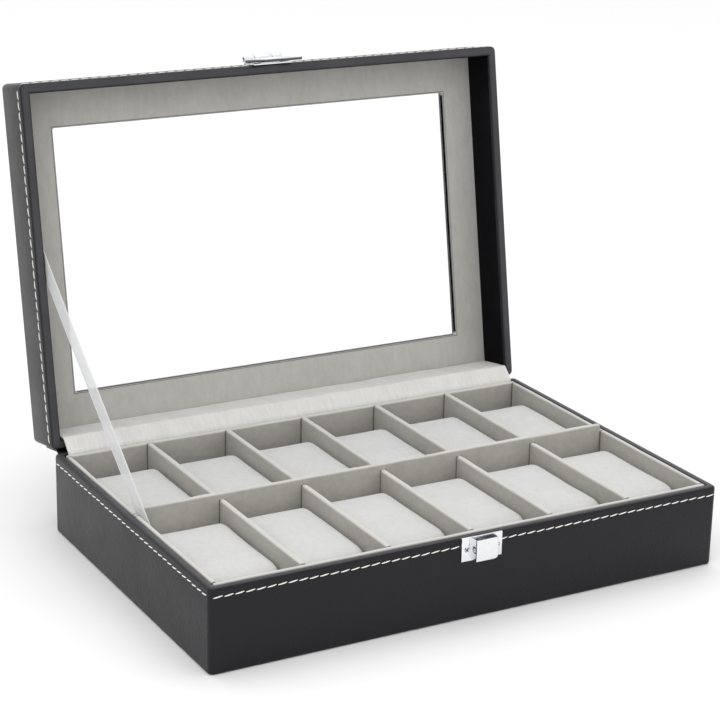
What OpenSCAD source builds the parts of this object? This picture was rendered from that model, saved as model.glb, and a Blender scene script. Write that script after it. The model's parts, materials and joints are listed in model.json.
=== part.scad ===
// Watch box: a leather-covered tray with twelve pillows under a hinged lid with a glass window.
// X runs along the front from left to right, Y from the front to the hinge, Z up.
// The origin is the middle of the underside. The lid stands open, held by a ribbon on the left.

/* [Box] */
// Outer width of the tray and the lid
box_w = 300; // [240:1:380]
// Outer depth of the tray and the lid
box_d = 200; // [160:1:260]
// Height of the tray
tray_h = 45.5; // [40:0.5:70]
// Height of the lid
lid_h = 30; // [27:0.5:60]
// Radius of the upright outer corners
corner_r = 3; // [1:0.5:6]
// Angle between the open lid and the shut lid
open_angle = 100; // [91:1:110]

/* [Walls] */
// Thickness of the leather
leather_t = 0.7; // [0.4:0.1:1.2]
// Thickness of the tray's wall boards
tray_board_t = 3.2; // [2:0.1:6]
// Thickness of the lid's wall boards
lid_board_t = 4.1; // [2.5:0.1:6]
// Thickness of the floor board
floor_board_t = 3; // [2:0.1:5]
// Thickness of the lid's top board
top_board_t = 1.4; // [1:0.1:3]
// Width of the leather that is folded under the tray
hem_w = 12; // [8:1:20]
// Depth of the leather that is folded in over a rim
turn_in = 14; // [8:1:20]
// Thickness of the sheet under the tray
cover_sheet_t = 0.8; // [0.5:0.1:1.5]

/* [Window] */
// Border between the window and the lid's left and right faces
window_side = 25; // [20:0.5:50]
// Border between the window and the lid's front and back faces
window_end = 26; // [20:0.5:50]
// Thickness of the glass
glass_t = 1.5; // [1:0.1:2.5]
// How far the glass reaches behind the border
glass_lap = 7; // [4:0.5:9]
// Thickness of the velvet panel under the glass
panel_t = 2.6; // [1.5:0.1:3]

/* [Lining] */
// Thickness of the velvet lining boards
lining_t = 2.4; // [1.5:0.1:4]
// Thickness of the lining on the floor
floor_lining_t = 1; // [0.6:0.1:2]
// Compartments side by side in a row
columns = 6; // [3:1:7]
// Thickness of the dividers
divider_t = 3; // [2:0.1:4]
// Height of the long divider above the rim
long_rise = 3.8; // [1:0.1:6]
// Height of the short dividers above the rim
cross_rise = 0.3; // [0:0.1:0.3]

/* [Pillows] */
// Free width beside a pillow, on each side
pillow_side_gap = 1.1; // [0.5:0.1:3]
// Free length in a compartment, in front of and behind the pillow together
pillow_end_gap = 12.5; // [6:0.5:20]
// Gap between a front pillow and the long divider
front_pillow_gap = 1.5; // [0.5:0.1:3]
// Gap between a back pillow and the long divider
back_pillow_gap = 3.5; // [0.5:0.1:5]
// Depth of the pillows' tops below the rim
pillow_sink = 6.7; // [2:0.1:12]
// Radius of a pillow's rounded front and back edges
pillow_r = 14; // [6:0.5:15]

/* [Stitching] */
// Distance of the stitching from the rim
stitch_drop = 4.6; // [3:0.1:8]
// Length of one stitch
stitch_l = 4.9; // [3:0.1:7]
// Distance from one stitch to the next
stitch_pitch = 5.7; // [4:0.1:9]
// Thickness of the thread
thread_t = 0.9; // [0.6:0.1:1.2]

/* [Catch] */
// Distance of the catch from the middle of the front, to the right
catch_x = 1; // [-20:0.5:20]
// Width of both back plates and of the hasp
plate_w = 24; // [20:0.5:30]
// Height of both back plates
plate_h = 12.8; // [12:0.2:16]
// Thickness of both back plates
plate_t = 1.2; // [0.8:0.1:1.6]
// Width of the catch housing
housing_w = 13; // [10:0.5:15]
// Height of the catch housing
housing_h = 11.7; // [10:0.1:11.7]
// How far the catch housing stands out from its plate
housing_out = 5.5; // [4.5:0.1:7]
// Thickness of the housing's sheet metal
housing_t = 0.5; // [0.4:0.05:0.8]
// Radius of the detent balls
ball_r = 1.6; // [1.3:0.05:2]
// Thickness of the hasp
hasp_t = 2; // [1.2:0.1:2.4]
// Radius of the hasp's hinge barrel
barrel_r = 2; // [1.6:0.1:2.4]
// Radius of the hasp's pin
pin_r = 0.8; // [0.5:0.1:1]
// Free space between the catch housing and the hasp's window
hasp_gap = 0.4; // [0.3:0.1:1.5]
// Width of the hasp's bar below the housing
hasp_bar = 2; // [1.5:0.1:4]

/* [Hinge and ribbon] */
// Distance of the hinge line behind the back
hinge_out = 1; // [0.9:0.1:3]
// Gap between the rims of the shut box
seat_gap = 0.3; // [0.3:0.1:1]
// Thickness of the leather hinge strip outside
strip_t = 0.8; // [0.5:0.1:0.8]
// Thickness of the velvet flap inside
flap_t = 0.8; // [0.5:0.1:1.2]
// Width of the ribbon
ribbon_w = 11; // [6:0.5:16]
// Thickness of the ribbon
ribbon_t = 0.5; // [0.3:0.05:0.6]
// Distance of the ribbon's ends from the hinge line
ribbon_reach = 106.5; // [60:0.5:120]

/* [Hidden] */

leather_colour = "#17171a";
board_colour = "#8f7a5c";
velvet_colour = "#b3aea6";
pillow_colour = "#d9d7d3";
thread_colour = "#ece6d8";
chrome_colour = "#d5d8dc";

fit = 0.15;          // clearance round a divider and beside a sheet that drops in
soft_fit = 0.1;      // clearance beside a flap or a ribbon
over = 1;            // how far a cutter or a joined solid reaches past a face
fine = 48;           // facets of a rounded edge
smooth = 32;         // facets of small round parts

// the tray, from the outside in
hem_z = 0.1;
inner_w = box_w - 2 * leather_t;
inner_d = box_d - 2 * leather_t;
inner_r = max(corner_r - leather_t, 0.3);
floor_z = cover_sheet_t + floor_board_t;
lining_z = floor_z + floor_lining_t;
tray_wall = 2 * leather_t + tray_board_t;
room_w = box_w - 2 * tray_wall;
room_d = box_d - 2 * tray_wall;
flap_room = flap_t + 2 * soft_fit;

// the room inside the linings
cell_left = -room_w / 2 + lining_t;
cell_right = room_w / 2 - lining_t;
cell_front = -room_d / 2 + lining_t;
cell_back = room_d / 2 - flap_room - lining_t;
cell_w = (cell_right - cell_left - (columns - 1) * divider_t) / columns;
lap_z = lining_z + (tray_h + cross_rise - lining_z) / 2;

// the pillows
pillow_w = cell_w - 2 * pillow_side_gap;
pillow_l = cell_back - divider_t / 2 - pillow_end_gap;
pillow_t = tray_h - pillow_sink - lining_z;
pillow_side = 2;     // least upright part between a pillow's rounded edges

// the lid, shut: heights in the lid are measured from its rim
rim_z = tray_h + seat_gap;
hinge_y = box_d / 2 + hinge_out;
hinge_z = tray_h;
lid_wall = 2 * leather_t + lid_board_t;
lid_room_w = box_w - 2 * lid_wall;
lid_room_d = box_d - 2 * lid_wall;
top_z = lid_h - leather_t - top_board_t;
glass_z = top_z - glass_t;
panel_z = glass_z - panel_t;
window_w = box_w - 2 * window_side;
window_d = box_d - 2 * window_end;
window_r = 1.5;

// the catch and the hasp: out is the distance in front of the leather
housing_foot = tray_h - housing_h;
plate_foot = tray_h - plate_h;
wing_x = (plate_w + housing_w) / 4;
nail_z = tray_h - plate_h / 2;
nail_shank_r = 0.6;
nail_head_r = 1.3;
nail_head_t = 0.4;
nail_depth = 2.2;
nail_slot_l = 1.4 * nail_head_r;
nail_slot_w = 0.3;
hasp_out = plate_t + nail_head_t + fit;
ball_lip = 0.25;     // rim of the housing that keeps a ball in
ball_play = 0.02;
ball_hole_r = ball_r - ball_lip;
ball_x = housing_w / 2 - housing_t - sqrt(pow(ball_r, 2) - pow(ball_hole_r, 2)) - ball_play;
ball_out = hasp_out + hasp_t + ball_r / 2;
ball_z = housing_foot + housing_h / 2;
spring_wire = 0.5;
spring_r = 0.78 * ball_r;
spring_turns = 7;
turn_slices = 14;
axis_out = hasp_out + barrel_r;
barrel_lift = 0.4;   // height of the barrel's axis above the back plate
axis_h = plate_h + barrel_lift;
knuckle_w = plate_w * 0.45;
knuckle_gap = 0.25;
web_t = 0.8;         // web from an outer knuckle to the back plate
pin_fit = 0.1;
window_foot = housing_foot - rim_z - hasp_gap;
hasp_foot = window_foot - hasp_bar;
hasp_window_top = 4;
shoulder_gap = 1.7;
hasp_shoulder = axis_h - barrel_r - shoulder_gap;

// the soft hinges and the ribbon
strip_inset = 3;
strip_w = box_w - 2 * strip_inset;
strip_drop = 18;
strip_fold = 1.5;    // distance of the strip's folds from the rims
flap_edge = 0.5;     // free space at the flap's edges
flap_w = lid_room_w - 2 * flap_edge;
flap_bow = 0.1;      // how far the flap stands off where it leaves a wall
flap_lid_folds = [1.2, -0.4];
flap_tray_folds = [0.7, -0.3];
ribbon_tray_x = cell_left + soft_fit + ribbon_t / 2;
ribbon_lid_x = -lid_room_w / 2 + soft_fit + ribbon_t / 2;
ribbon_tab = 12;     // glued length at each end
ribbon_sink = 1;     // depth below the tray's rim where the ribbon comes free
ribbon_lift = 6;     // depth in the lid where it comes free
ribbon_room = ribbon_t + 2 * soft_fit;
slice = 0.02;

// ---- helpers ----

// point of the shut lid after opening
function opened(p) = [
    hinge_y + (p[0] - hinge_y) * cos(open_angle) + (p[1] - hinge_z) * sin(open_angle),
    hinge_z - (p[0] - hinge_y) * sin(open_angle) + (p[1] - hinge_z) * cos(open_angle)];

// unit vector square to the line from a to b
function across(a, b) = [a[1] - b[1], b[0] - a[0]] / norm(b - a);

// the outline's corner beside point i of a path, t to its left
function beside(path, i, t) =
    let (last = len(path) - 1,
         before = i == 0 ? across(path[0], path[1]) : across(path[i - 1], path[i]),
         after = i == last ? before : across(path[i], path[i + 1]),
         middle = (before + after) / norm(before + after))
    path[i] + middle * t / (middle * before);

// turns and moves what is drawn on the shut lid to the open lid; Z starts at the lid's rim
module on_lid() {
    translate([0, hinge_y, hinge_z])
        rotate([-open_angle, 0, 0])
            translate([0, -hinge_y, rim_z - hinge_z])
                children();
}

// rectangle with rounded corners
module rounded(w, d, r) {
    square([w - 2 * r, d], center = true);
    square([w, d - 2 * r], center = true);
    for (x = [-1, 1], y = [-1, 1])
        translate([x * (w / 2 - r), y * (d / 2 - r)])
            circle(r, $fn = fine);
}

// upright slab with rounded corners, from z0 to z1
module slab(w, d, r, z0, z1) {
    translate([0, 0, z0])
        linear_extrude(z1 - z0)
            rounded(w, d, r);
}

// rectangular frame of width t on the inside of w by d
module square_ring(w, d, t, z0, z1) {
    translate([0, 0, z0])
        linear_extrude(z1 - z0)
            difference() {
                square([w, d], center = true);
                square([w - 2 * t, d - 2 * t], center = true);
            }
}

// one wall board of a box: side is "front", "back", "left" or "right"
module wall_board(side, t, z0, z1) {
    end = side == "front" || side == "left" ? -1 : 1;
    h = z1 - z0;
    if (side == "front" || side == "back")
        intersection() {
            slab(inner_w, inner_d, inner_r, z0, z1);
            translate([0, end * (inner_d - t) / 2, z0 + h / 2])
                cube([box_w, t, h], center = true);
        }
    else
        translate([end * (inner_w - t) / 2, 0, z0 + h / 2])
            cube([t, inner_d - 2 * t, h], center = true);
}

// flat strip of width w along a path in the YZ plane
module bent_sheet(path, t, w) {
    last = len(path) - 1;
    outline = concat(
        [for (i = [0 : last]) beside(path, i, t / 2)],
        [for (i = [last : -1 : 0]) beside(path, i, -t / 2)]);
    translate([-w / 2, 0, 0])
        rotate([90, 0, 90])
            linear_extrude(w)
                polygon(outline);
}

// stitches in a row along X, centred, pointing out of the face
module stitch_row(length, skip_from = 0, skip_to = 0) {
    count = floor((length - stitch_l) / stitch_pitch);
    for (i = [0 : count]) {
        x = (i - count / 2) * stitch_pitch;
        if (x + stitch_l / 2 < skip_from || x - stitch_l / 2 > skip_to || skip_from == skip_to)
            translate([x, -thread_t / 4, 0])
                cube([stitch_l, thread_t / 2, thread_t], center = true);
    }
}

// stitching on the front, the left and the right; the back is under the hinge strip
module stitching(z) {
    color(thread_colour) translate([0, 0, z]) {
        translate([0, -box_d / 2, 0])
            stitch_row(box_w - 2 * corner_r, catch_x - plate_w / 2, catch_x + plate_w / 2);
        for (side = [-1, 1])
            translate([side * box_w / 2, 0, 0])
                rotate([0, 0, side * 90])
                    stitch_row(box_d - 2 * corner_r);
    }
}

// everything in front of the leather at the catch: X from the catch's middle, Y outwards is minus
module at_catch() {
    translate([catch_x, -box_d / 2, 0])
        children();
}

// a nail in each wing of a back plate, at height z
module nails(z) {
    at_catch() for (side = [-1, 1])
        translate([side * wing_x, 0, z])
            rotate([90, 0, 0]) {
                translate([0, 0, plate_t])
                    nail_head();
                translate([0, 0, -nail_depth])
                    cylinder(r = nail_shank_r, h = nail_depth + plate_t, $fn = smooth);
            }
}

// flat head with a cross recess
module nail_head() {
    difference() {
        cylinder(r = nail_head_r, h = nail_head_t, $fn = smooth);
        for (turn = [45, 135])
            translate([0, 0, nail_head_t])
                rotate([0, 0, turn])
                    cube([nail_slot_l, nail_slot_w, nail_head_t], center = true);
    }
}

// the holes that the nails pass through
module nail_holes(z) {
    at_catch() for (side = [-1, 1])
        translate([side * wing_x, nail_depth, z])
            rotate([90, 0, 0])
                cylinder(r = nail_shank_r, h = nail_depth + 2 * plate_t, $fn = smooth);
}

// back plate of the catch or the hasp, its foot at z
module back_plate(z) {
    difference() {
        at_catch() translate([-plate_w / 2, -plate_t, z])
            cube([plate_w, plate_t, plate_h]);
        nail_holes(z + plate_h / 2);
    }
}

// ---- tray ----

module floor_board() {
    color(board_colour) slab(inner_w, inner_d, inner_r, cover_sheet_t, floor_z);
}

module tray_board(side) {
    color(board_colour) difference() {
        wall_board(side, tray_board_t, floor_z, tray_h - leather_t);
        nail_holes(nail_z);
    }
}

// outer skin, rim fold, turned-in edge and hem
module tray_leather() {
    color(leather_colour) difference() {
        union() {
            difference() {
                slab(box_w, box_d, corner_r, hem_z, tray_h);
                slab(inner_w, inner_d, inner_r, -over, tray_h + over);
            }
            difference() {
                slab(inner_w, inner_d, inner_r, tray_h - leather_t, tray_h);
                cube([room_w, room_d, 3 * tray_h], center = true);
            }
            square_ring(room_w + 2 * leather_t, room_d + 2 * leather_t, leather_t,
                tray_h - turn_in, tray_h - leather_t);
            difference() {
                slab(inner_w, inner_d, inner_r, hem_z, cover_sheet_t);
                cube([box_w - 2 * hem_w, box_d - 2 * hem_w, tray_h], center = true);
            }
        }
        nail_holes(nail_z);
    }
}

module tray_stitching() {
    stitching(tray_h - stitch_drop);
}

module bottom_sheet() {
    color("#2a2a2c")
        translate([0, 0, cover_sheet_t / 2])
            cube([box_w - 2 * hem_w - 2 * fit, box_d - 2 * hem_w - 2 * fit, cover_sheet_t],
                center = true);
}

module floor_lining() {
    color(velvet_colour)
        translate([0, 0, floor_z + floor_lining_t / 2])
            cube([room_w, room_d, floor_lining_t], center = true);
}

// front or back lining, the full width of the room
module long_lining(y) {
    color(velvet_colour)
        translate([-room_w / 2, y, lining_z])
            cube([room_w, lining_t, tray_h - lining_z]);
}

// left or right lining, between the front and the back lining
module side_lining(x) {
    color(velvet_colour)
        translate([x, cell_front, lining_z])
            cube([lining_t, cell_back - cell_front, tray_h - lining_z]);
}

// divider along the box, slotted from below where the short dividers cross it;
// the ribbon passes between its left end and the lining
module long_divider() {
    left = cell_left + ribbon_room;
    color(velvet_colour) difference() {
        translate([left, -divider_t / 2, lining_z])
            cube([cell_right - fit - left, divider_t, tray_h + long_rise - lining_z]);
        for (i = [1 : columns - 1])
            translate([cross_x(i), 0, lining_z])
                cube([divider_t + 2 * fit, 2 * divider_t, 2 * (lap_z - lining_z + fit)],
                    center = true);
    }
}

// middle of short divider i
function cross_x(i) = cell_left + i * cell_w + (i - 0.5) * divider_t;

// short divider, slotted from above for the long one
module cross_divider(i) {
    color(velvet_colour) difference() {
        translate([cross_x(i) - divider_t / 2, cell_front + fit, lining_z])
            cube([divider_t, cell_back - cell_front - 2 * fit, tray_h + cross_rise - lining_z]);
        translate([cross_x(i) - divider_t, -divider_t / 2 - fit, lap_z])
            cube([2 * divider_t, divider_t + 2 * fit, tray_h]);
    }
}

// pillow in column i: an upholstered block with rounded front and back edges
module pillow(row, i) {
    y = row == "front"
        ? -divider_t / 2 - front_pillow_gap - pillow_l / 2
        : divider_t / 2 + back_pillow_gap + pillow_l / 2;
    r = min(pillow_r, (pillow_t - pillow_side) / 2);
    color(pillow_colour)
        translate([cross_x(i) - divider_t / 2 - cell_w / 2 - pillow_w / 2, y,
                   lining_z + pillow_t / 2])
            rotate([90, 0, 90])
                linear_extrude(pillow_w)
                    rounded(pillow_l, pillow_t, r);
}

// ---- catch ----

module catch_plate() {
    color(chrome_colour) back_plate(plate_foot);
}

// sheet-metal housing, open at the top, with a hole in each side for a ball
module catch_housing() {
    depth = housing_out - housing_t;
    color(chrome_colour) at_catch() difference() {
        translate([-housing_w / 2, -plate_t - housing_out, housing_foot])
            cube([housing_w, housing_out, housing_h]);
        translate([-housing_w / 2 + housing_t, -plate_t - depth, housing_foot + housing_t])
            cube([housing_w - 2 * housing_t, depth + over, housing_h]);
        translate([0, -ball_out, ball_z])
            rotate([0, 90, 0])
                cylinder(r = ball_hole_r, h = 2 * housing_w, center = true, $fn = smooth);
    }
}

module catch_balls() {
    color(chrome_colour) at_catch()
        for (side = [-1, 1])
            translate([side * ball_x, -ball_out, ball_z])
                sphere(ball_r, $fn = smooth);
}

// coil spring between the balls
module catch_spring() {
    length = 2 * (ball_x - ball_r);
    color(chrome_colour) at_catch()
        translate([-length / 2, -ball_out, ball_z])
            rotate([0, 90, 0])
                linear_extrude(length, twist = 360 * spring_turns,
                    slices = turn_slices * spring_turns)
                    translate([spring_r - spring_wire / 2, 0])
                        circle(spring_wire / 2, $fn = 10);
}

module catch_nails() {
    color(chrome_colour) nails(nail_z);
}

// ---- soft hinges and ribbon ----

// leather strip outside: down the tray's back and along the lid's back
module hinge_strip() {
    back = box_d / 2 + soft_fit + strip_t / 2;
    path = [
        [back, tray_h - strip_drop],
        [back, tray_h - strip_fold],
        opened([back, rim_z + strip_fold]),
        opened([back, rim_z + strip_drop])];
    color(leather_colour) bent_sheet(path, strip_t, strip_w);
}

// velvet flap inside: along the lid's back wall, over both rims and down behind the lining
module hinge_flap() {
    wall = lid_room_d / 2 - soft_fit - flap_t / 2;
    slot = room_d / 2 - flap_room / 2;
    path = [
        opened([wall, rim_z + panel_z - flap_edge]),
        opened([wall, rim_z + flap_lid_folds[0]]),
        opened([wall - flap_bow, rim_z + flap_lid_folds[1]]),
        [slot - flap_bow, tray_h + flap_tray_folds[0]],
        [slot, tray_h + flap_tray_folds[1]],
        [slot, tray_h - turn_in]];
    color("#cfcec9") bent_sheet(path, flap_t, flap_w);
}

// taut ribbon on the left: glued to the tray's lining, free, and glued to the lid's wall
module ribbon_stay() {
    foot = [hinge_y - ribbon_reach, tray_h - ribbon_sink];
    head = opened([hinge_y - ribbon_reach, hinge_z + ribbon_lift]);
    along = (head - foot) / norm(head - foot);
    lean = atan2(along[1], along[0]);
    color("#dcdcdc") {
        ribbon_piece(ribbon_tray_x, foot - ribbon_tab * along, ribbon_tray_x, foot, lean);
        ribbon_piece(ribbon_tray_x, foot, ribbon_lid_x, head, lean);
        ribbon_piece(ribbon_lid_x, head, ribbon_lid_x, head + ribbon_tab * along, lean);
    }
}

// flat length of ribbon between two points of the YZ plane, each at its own X
module ribbon_piece(x0, p0, x1, p1, lean) {
    hull() for (end = [[x0, p0], [x1, p1]])
        translate([end[0], end[1][0], end[1][1]])
            rotate([lean, 0, 0])
                cube([ribbon_t, slice, ribbon_w], center = true);
}

// ---- lid ----

module lid_board(side) {
    color(board_colour) on_lid() difference() {
        wall_board(side, lid_board_t, leather_t, top_z);
        nail_holes(plate_h / 2);
    }
}

module lid_top_board() {
    color(board_colour) on_lid() difference() {
        slab(inner_w, inner_d, inner_r, top_z, top_z + top_board_t);
        slab(window_w + 2 * leather_t, window_d + 2 * leather_t, window_r + leather_t,
            top_z - over, lid_h);
    }
}

// outer skin, top, window edge, rim fold and turned-in edge
module lid_leather() {
    color(leather_colour) on_lid() difference() {
        union() {
            difference() {
                slab(box_w, box_d, corner_r, 0, lid_h);
                slab(inner_w, inner_d, inner_r, -over, lid_h - leather_t);
            }
            slab(window_w + 2 * leather_t, window_d + 2 * leather_t, window_r + leather_t,
                top_z, lid_h);
            difference() {
                slab(inner_w, inner_d, inner_r, 0, leather_t);
                cube([lid_room_w, lid_room_d, lid_h], center = true);
            }
            square_ring(lid_room_w + 2 * leather_t, lid_room_d + 2 * leather_t, leather_t,
                leather_t, panel_z);
        }
        slab(window_w, window_d, window_r, top_z - over, lid_h + over);
        nail_holes(plate_h / 2);
    }
}

module lid_stitching() {
    on_lid() stitching(stitch_drop);
}

module glass_pane() {
    color([0.85, 0.93, 0.95, 0.25]) on_lid()
        translate([0, 0, glass_z + glass_t / 2])
            cube([window_w + 2 * glass_lap, window_d + 2 * glass_lap, glass_t], center = true);
}

// frame that fills the layer round the glass
module glass_spacer() {
    color(board_colour) on_lid() difference() {
        translate([0, 0, glass_z + glass_t / 2])
            cube([lid_room_w + 2 * leather_t, lid_room_d + 2 * leather_t, glass_t], center = true);
        translate([0, 0, glass_z])
            cube([window_w + 2 * glass_lap + 2 * fit, window_d + 2 * glass_lap + 2 * fit, lid_h],
                center = true);
    }
}

// velvet panel with the window cut out
module lid_panel() {
    color(velvet_colour) on_lid() difference() {
        translate([0, 0, panel_z + panel_t / 2])
            cube([lid_room_w + 2 * leather_t, lid_room_d + 2 * leather_t, panel_t], center = true);
        slab(window_w, window_d, window_r, 0, lid_h);
    }
}

// ---- hasp ----

// knuckle of the hasp's hinge, w wide, its axis through the origin
module knuckle(w) {
    rotate([0, 90, 0])
        cylinder(r = barrel_r, h = w, center = true, $fn = smooth);
}

// back plate on the lid with an outer knuckle at each end
module hasp_plate() {
    w = (plate_w - knuckle_w) / 2 - knuckle_gap;
    color(chrome_colour) on_lid() {
        back_plate(0);
        at_catch() for (side = [-1, 1])
            translate([side * (plate_w - w) / 2, 0, axis_h])
                difference() {
                    union() {
                        translate([0, -axis_out, 0])
                            knuckle(w);
                        translate([-w / 2, -axis_out, -web_t])
                            cube([w, axis_out, web_t]);
                        translate([-w / 2, -plate_t, plate_h - axis_h])
                            cube([w, plate_t, barrel_r]);
                    }
                    translate([0, -axis_out, 0])
                        rotate([0, 90, 0])
                            cylinder(r = pin_r, h = 2 * w, center = true, $fn = smooth);
                }
    }
}

module hasp_nails() {
    color(chrome_colour) on_lid() nails(plate_h / 2);
}

module hasp_pin() {
    color(chrome_colour) on_lid() at_catch()
        translate([0, -axis_out, axis_h])
            rotate([0, 90, 0])
                cylinder(r = pin_r, h = plate_w, center = true, $fn = smooth);
}

// stamped plate with a square window that closes over the catch housing
module hasp() {
    window = housing_w + 2 * hasp_gap;
    color(chrome_colour) on_lid() at_catch() difference() {
        union() {
            translate([-plate_w / 2, -hasp_out - hasp_t, hasp_foot])
                cube([plate_w, hasp_t, hasp_shoulder - hasp_foot]);
            translate([-knuckle_w / 2, -hasp_out - hasp_t, hasp_shoulder - over])
                cube([knuckle_w, hasp_t, axis_h - hasp_shoulder + over]);
            translate([0, -axis_out, axis_h])
                knuckle(knuckle_w);
        }
        translate([-window / 2, -hasp_out - 2 * hasp_t, window_foot])
            cube([window, 3 * hasp_t, hasp_window_top - window_foot]);
        translate([0, -axis_out, axis_h])
            rotate([0, 90, 0])
                cylinder(r = pin_r + pin_fit, h = 2 * plate_w, center = true, $fn = smooth);
    }
}

floor_board();
tray_board("front");  // tray_front_board
tray_board("back");  // tray_back_board
tray_board("left");  // tray_left_board
tray_board("right");  // tray_right_board
tray_leather();
tray_stitching();
bottom_sheet();
floor_lining();
long_lining(-room_d / 2);  // lining_front
long_lining(cell_back);  // lining_back
side_lining(-room_w / 2);  // lining_left
side_lining(cell_right);  // lining_right
long_divider();
for (i = [1 : columns - 1])
    cross_divider(i);
for (row = ["front", "back"], i = [1 : columns])
    pillow(row, i);
catch_plate();
catch_housing();
catch_balls();
catch_spring();
catch_nails();
hinge_strip();
hinge_flap();
ribbon_stay();
lid_board("front");  // lid_front_board
lid_board("back");  // lid_back_board
lid_board("left");  // lid_left_board
lid_board("right");  // lid_right_board
lid_top_board();
lid_leather();
lid_stitching();
glass_pane();
glass_spacer();
lid_panel();
hasp_plate();
hasp_nails();
hasp_pin();
hasp();
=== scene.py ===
import json
import math
import random

import bmesh
import bpy
from mathutils import Matrix, Vector, noise


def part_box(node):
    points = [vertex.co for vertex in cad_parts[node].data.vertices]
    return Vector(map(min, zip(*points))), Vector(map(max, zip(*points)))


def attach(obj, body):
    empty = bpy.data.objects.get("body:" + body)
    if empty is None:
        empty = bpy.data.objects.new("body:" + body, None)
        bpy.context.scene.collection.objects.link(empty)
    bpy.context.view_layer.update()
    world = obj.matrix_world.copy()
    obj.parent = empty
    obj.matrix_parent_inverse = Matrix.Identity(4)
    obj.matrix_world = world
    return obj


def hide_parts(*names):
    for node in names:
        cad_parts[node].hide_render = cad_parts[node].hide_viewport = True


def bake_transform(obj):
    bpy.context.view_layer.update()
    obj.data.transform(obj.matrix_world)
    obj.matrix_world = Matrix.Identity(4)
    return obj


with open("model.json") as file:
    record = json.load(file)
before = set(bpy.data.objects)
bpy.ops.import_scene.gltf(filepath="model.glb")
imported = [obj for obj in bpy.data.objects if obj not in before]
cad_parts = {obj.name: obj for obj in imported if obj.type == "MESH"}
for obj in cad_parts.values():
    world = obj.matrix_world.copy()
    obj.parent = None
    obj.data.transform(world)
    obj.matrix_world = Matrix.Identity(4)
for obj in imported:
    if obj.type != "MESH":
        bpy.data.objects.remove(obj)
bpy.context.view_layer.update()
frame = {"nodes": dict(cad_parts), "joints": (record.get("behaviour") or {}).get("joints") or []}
nodes = frame["nodes"]
mm = 0.001
hair = 0.01 * mm  # corners this close to a level lie on it
near = 1 * mm  # corners this close to a side belong to it
tall = 10 * mm  # edges longer than this run the whole way along a piece

hinge = next(j for j in frame["joints"] if j["name"] == "lid_hinge")
hingePoint = Vector(hinge["pos_m"])
openAngle = math.radians(-hinge["range_deg"][0])
aroundHinge = Matrix.Translation(hingePoint)
toOpen = aroundHinge @ Matrix.Rotation(-openAngle, 4, "X") @ aroundHinge.inverted()
toShut = toOpen.inverted()


def shutBox(node):
    # lowest and highest corner of a lid node once the lid is shut
    corners = [toShut @ v.co for v in nodes[node].data.vertices]
    low = Vector([min(c[axis] for c in corners) for axis in range(3)])
    high = Vector([max(c[axis] for c in corners) for axis in range(3)])
    return low, high


# ---------- shader helpers ----------
class Wire:
    # a node's output, which sums and products can be written with

    def __init__(self, finish, socket):
        self.finish = finish
        self.socket = socket

    def maths(self, operation, *others):
        return self.finish.node("ShaderNodeMath", {"operation": operation}, [self, *others])

    def swapped(self, operation, other):
        return self.finish.node("ShaderNodeMath", {"operation": operation}, [other, self])

    def __add__(self, other):
        return self.maths("ADD", other)

    def __radd__(self, other):
        return self.maths("ADD", other)

    def __sub__(self, other):
        return self.maths("SUBTRACT", other)

    def __rsub__(self, other):
        return self.swapped("SUBTRACT", other)

    def __mul__(self, other):
        return self.maths("MULTIPLY", other)

    def __rmul__(self, other):
        return self.maths("MULTIPLY", other)

    def __truediv__(self, other):
        return self.maths("DIVIDE", other)

    def clamped(self):
        return self.maths("MINIMUM", 1.0).maths("MAXIMUM", 0.0)


class Finish:
    # one procedural material

    def __init__(self, name, **fixed):
        self.material = bpy.data.materials.new(name)
        self.material.use_nodes = True
        self.tree = self.material.node_tree
        self.surface = self.tree.nodes["Principled BSDF"]
        for label, value in fixed.items():
            self.surface.inputs[label.replace("_", " ")].default_value = value

    def node(self, kind, settings, inputs, output=0):
        made = self.tree.nodes.new(kind)
        for key, value in settings.items():
            setattr(made, key, value)
        pairs = inputs.items() if isinstance(inputs, dict) else enumerate(inputs)
        for key, value in pairs:
            self.feed(made.inputs[key], value)
        return Wire(self, made.outputs[output])

    def feed(self, socket, value):
        if isinstance(value, Wire):
            self.tree.links.new(value.socket, socket)
        elif isinstance(value, (tuple, list)) and len(value) == 3 and socket.type == "RGBA":
            socket.default_value = (*value, 1.0)
        else:
            socket.default_value = value

    def place(self, turn=None):
        # object coordinates, turned by a matrix where the pattern follows the lid
        spot = self.node("ShaderNodeTexCoord", {}, {}, "Object")
        if turn is None:
            return spot
        settings = {"Location": turn.to_translation(), "Rotation": turn.to_euler()}
        return self.node("ShaderNodeMapping", {}, {"Vector": spot, **settings})

    def axes(self, spot):
        return [self.node("ShaderNodeSeparateXYZ", {}, [spot], k) for k in range(3)]

    def cloud(self, spot, scale, detail=2.0, roughness=0.5, stretch=None):
        if stretch:
            spot = self.node("ShaderNodeMapping", {}, {"Vector": spot, "Scale": stretch})
        inputs = {"Vector": spot, "Scale": scale, "Detail": detail, "Roughness": roughness}
        return self.node("ShaderNodeTexNoise", {}, inputs)

    def cells(self, spot, scale, feature="F1"):
        return self.node("ShaderNodeTexVoronoi", {"feature": feature},
                         {"Vector": spot, "Scale": scale})

    def blendColours(self, first, second, factor):
        inputs = {0: factor, 6: first, 7: second}
        return self.node("ShaderNodeMix", {"data_type": "RGBA"}, inputs, 2)

    def remap(self, value, low, high, newLow, newHigh):
        inputs = {"Value": value, 1: low, 2: high, 3: newLow, 4: newHigh}
        return self.node("ShaderNodeMapRange", {}, inputs)

    def paint(self, **sockets):
        for label, value in sockets.items():
            self.feed(self.surface.inputs[label.replace("_", " ")], value)

    def bump(self, height, distance, strength=1.0):
        inputs = {"Height": height, "Distance": distance, "Strength": strength}
        self.paint(Normal=self.node("ShaderNodeBump", {}, inputs))


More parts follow.
